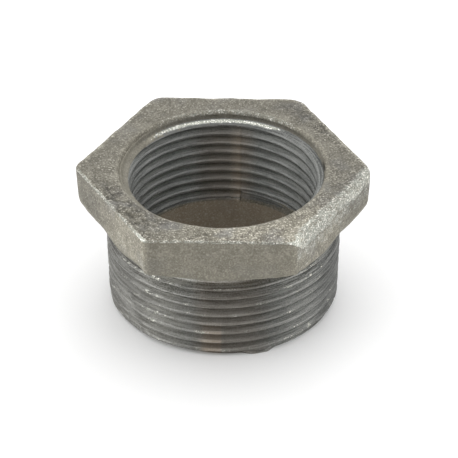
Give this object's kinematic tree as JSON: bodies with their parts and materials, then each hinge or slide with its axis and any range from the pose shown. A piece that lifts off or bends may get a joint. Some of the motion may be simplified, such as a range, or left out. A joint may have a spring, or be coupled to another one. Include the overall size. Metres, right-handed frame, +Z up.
{
  "type": "hex bushing",
  "caption": "Cast iron hex reducing bushing with a six-sided head, an outer taper thread and an inner taper thread in its bore.",
  "frame": {"origin": "centre of the bottom face, on the axis of the threads", "axes": "+Z up the bore towards the hexagon head, a flat of the hexagon faces -Y and its corners lie on +X and -X"},
  "size_m": [0.0606, 0.0532, 0.0306],
  "materials": {
    "cast_iron": "as cast black iron, matte and grainy, with turned threads left bare and dark"
  },
  "bodies": {
    "root": {"hex_bushing": "cast_iron"}
  },
  "joints": []
}
